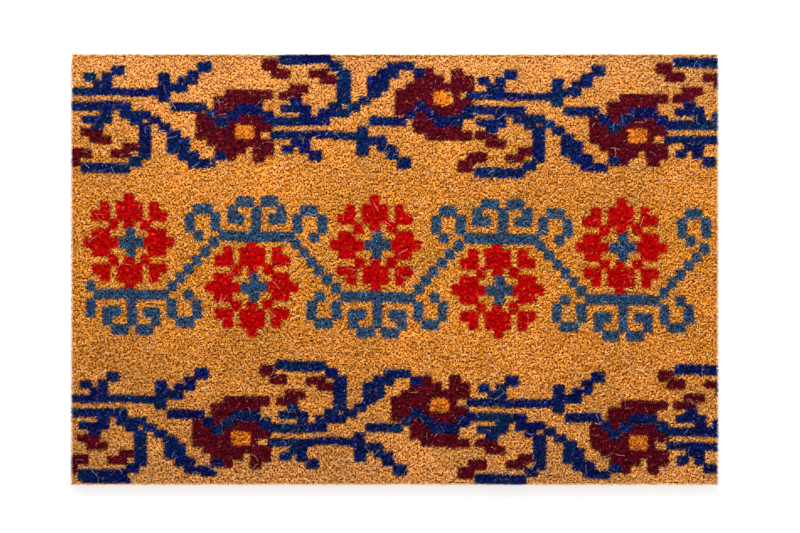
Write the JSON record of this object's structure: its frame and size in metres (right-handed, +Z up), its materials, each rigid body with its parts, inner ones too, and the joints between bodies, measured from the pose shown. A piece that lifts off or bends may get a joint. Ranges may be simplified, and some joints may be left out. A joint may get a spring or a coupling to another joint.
{
  "type": "door mat",
  "caption": "Flat rectangular coir door mat: short bristly coconut-fibre pile planted in a thin vinyl backing, dyed with a stepped flower border and a band of rosettes.",
  "frame": {"origin": "middle of the underside, on the floor that the mat lies on", "axes": "+X along the long side, +Y from the front edge to the back edge, +Z up out of the pile"},
  "size_m": [0.6, 0.4, 0.015],
  "materials": {
    "coir": "short, stiff, sheared coconut-fibre pile, dyed from above",
    "vinyl": "matt, soft, finely grained vinyl"
  },
  "bodies": {
    "root": {"vinyl_backing": "vinyl", "tuft_row_01": "coir", "tuft_row_02": "coir", "tuft_row_03": "coir", "tuft_row_04": "coir", "tuft_row_05": "coir", "tuft_row_06": "coir", "tuft_row_07": "coir", "tuft_row_08": "coir", "tuft_row_09": "coir", "tuft_row_10": "coir", "tuft_row_11": "coir", "tuft_row_12": "coir", "tuft_row_13": "coir", "tuft_row_14": "coir", "tuft_row_15": "coir", "tuft_row_16": "coir", "tuft_row_17": "coir", "tuft_row_18": "coir", "tuft_row_19": "coir", "tuft_row_20": "coir", "tuft_row_21": "coir", "tuft_row_22": "coir", "tuft_row_23": "coir", "tuft_row_24": "coir", "tuft_row_25": "coir", "tuft_row_26": "coir", "tuft_row_27": "coir", "tuft_row_28": "coir", "tuft_row_29": "coir", "tuft_row_30": "coir", "tuft_row_31": "coir", "tuft_row_32": "coir", "tuft_row_33": "coir", "tuft_row_34": "coir", "tuft_row_35": "coir", "tuft_row_36": "coir", "tuft_row_37": "coir", "tuft_row_38": "coir", "tuft_row_39": "coir", "tuft_row_40": "coir", "tuft_row_41": "coir", "tuft_row_42": "coir", "tuft_row_43": "coir", "tuft_row_44": "coir", "tuft_row_45": "coir", "tuft_row_46": "coir", "tuft_row_47": "coir", "tuft_row_48": "coir", "tuft_row_49": "coir", "tuft_row_50": "coir"}
  },
  "joints": []
}
